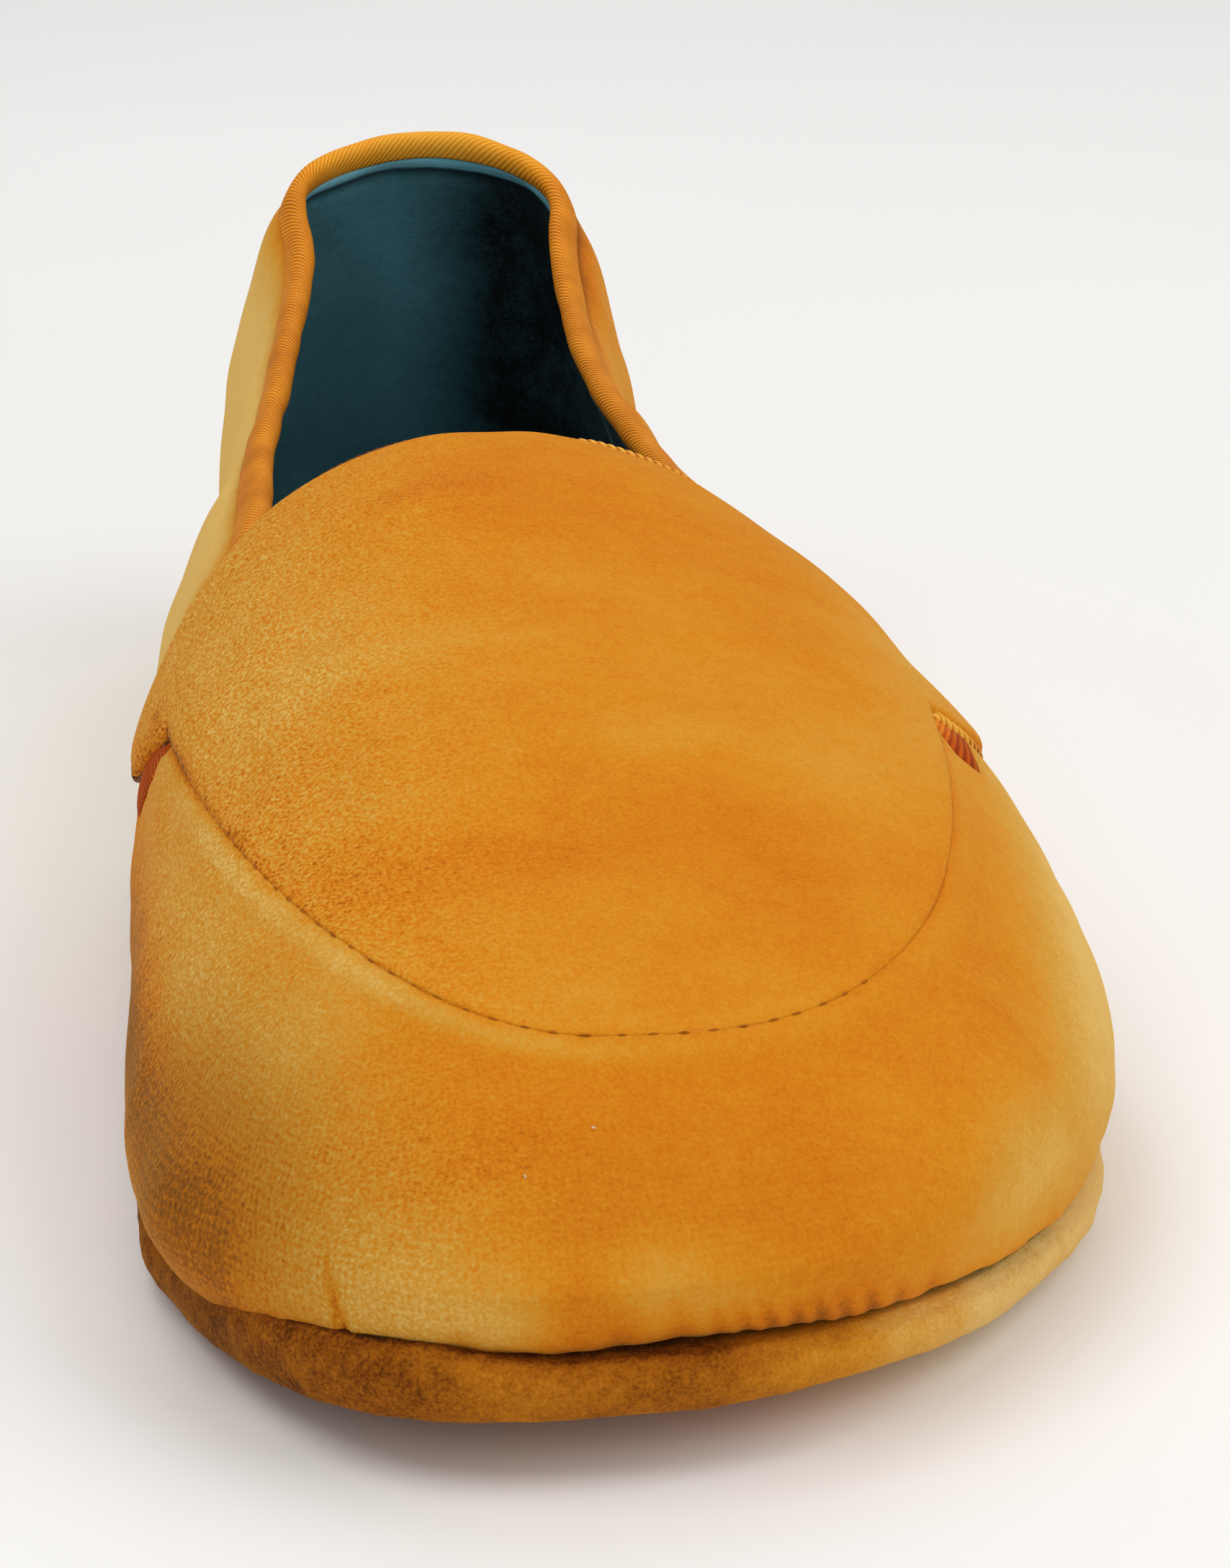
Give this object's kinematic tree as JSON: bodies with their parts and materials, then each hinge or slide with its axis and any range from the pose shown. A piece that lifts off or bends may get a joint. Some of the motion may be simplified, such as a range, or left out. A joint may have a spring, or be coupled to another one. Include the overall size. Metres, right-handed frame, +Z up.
{
  "type": "velvet loafer",
  "caption": "Soft velvet slip-on loafer for the left foot, with a U-seamed apron ending in a bound tongue flap, a taped collar and a thin suede-wrapped sole.",
  "frame": {"origin": "on the floor, under the middle of the shoe's box", "axes": "+Z up, toe towards -Y, heel towards +Y, lateral side of the left foot towards +X"},
  "size_m": [0.1034, 0.2752, 0.0759],
  "materials": {
    "suede": "napped ochre suede, matte",
    "lining": "dark teal velvet",
    "velvet": "mustard cotton velvet with pale grazing sheen",
    "apron_velvet": "mustard cotton velvet, brushed towards the toe",
    "flap_tape": "rust twill tape with diagonal ribs",
    "collar_tape": "orange twill tape with diagonal ribs"
  },
  "bodies": {
    "root": {"sole": "suede", "insole": "lining", "upper": "velvet", "apron": "apron_velvet", "flap_binding": "flap_tape", "collar_binding": "collar_tape"}
  },
  "joints": []
}
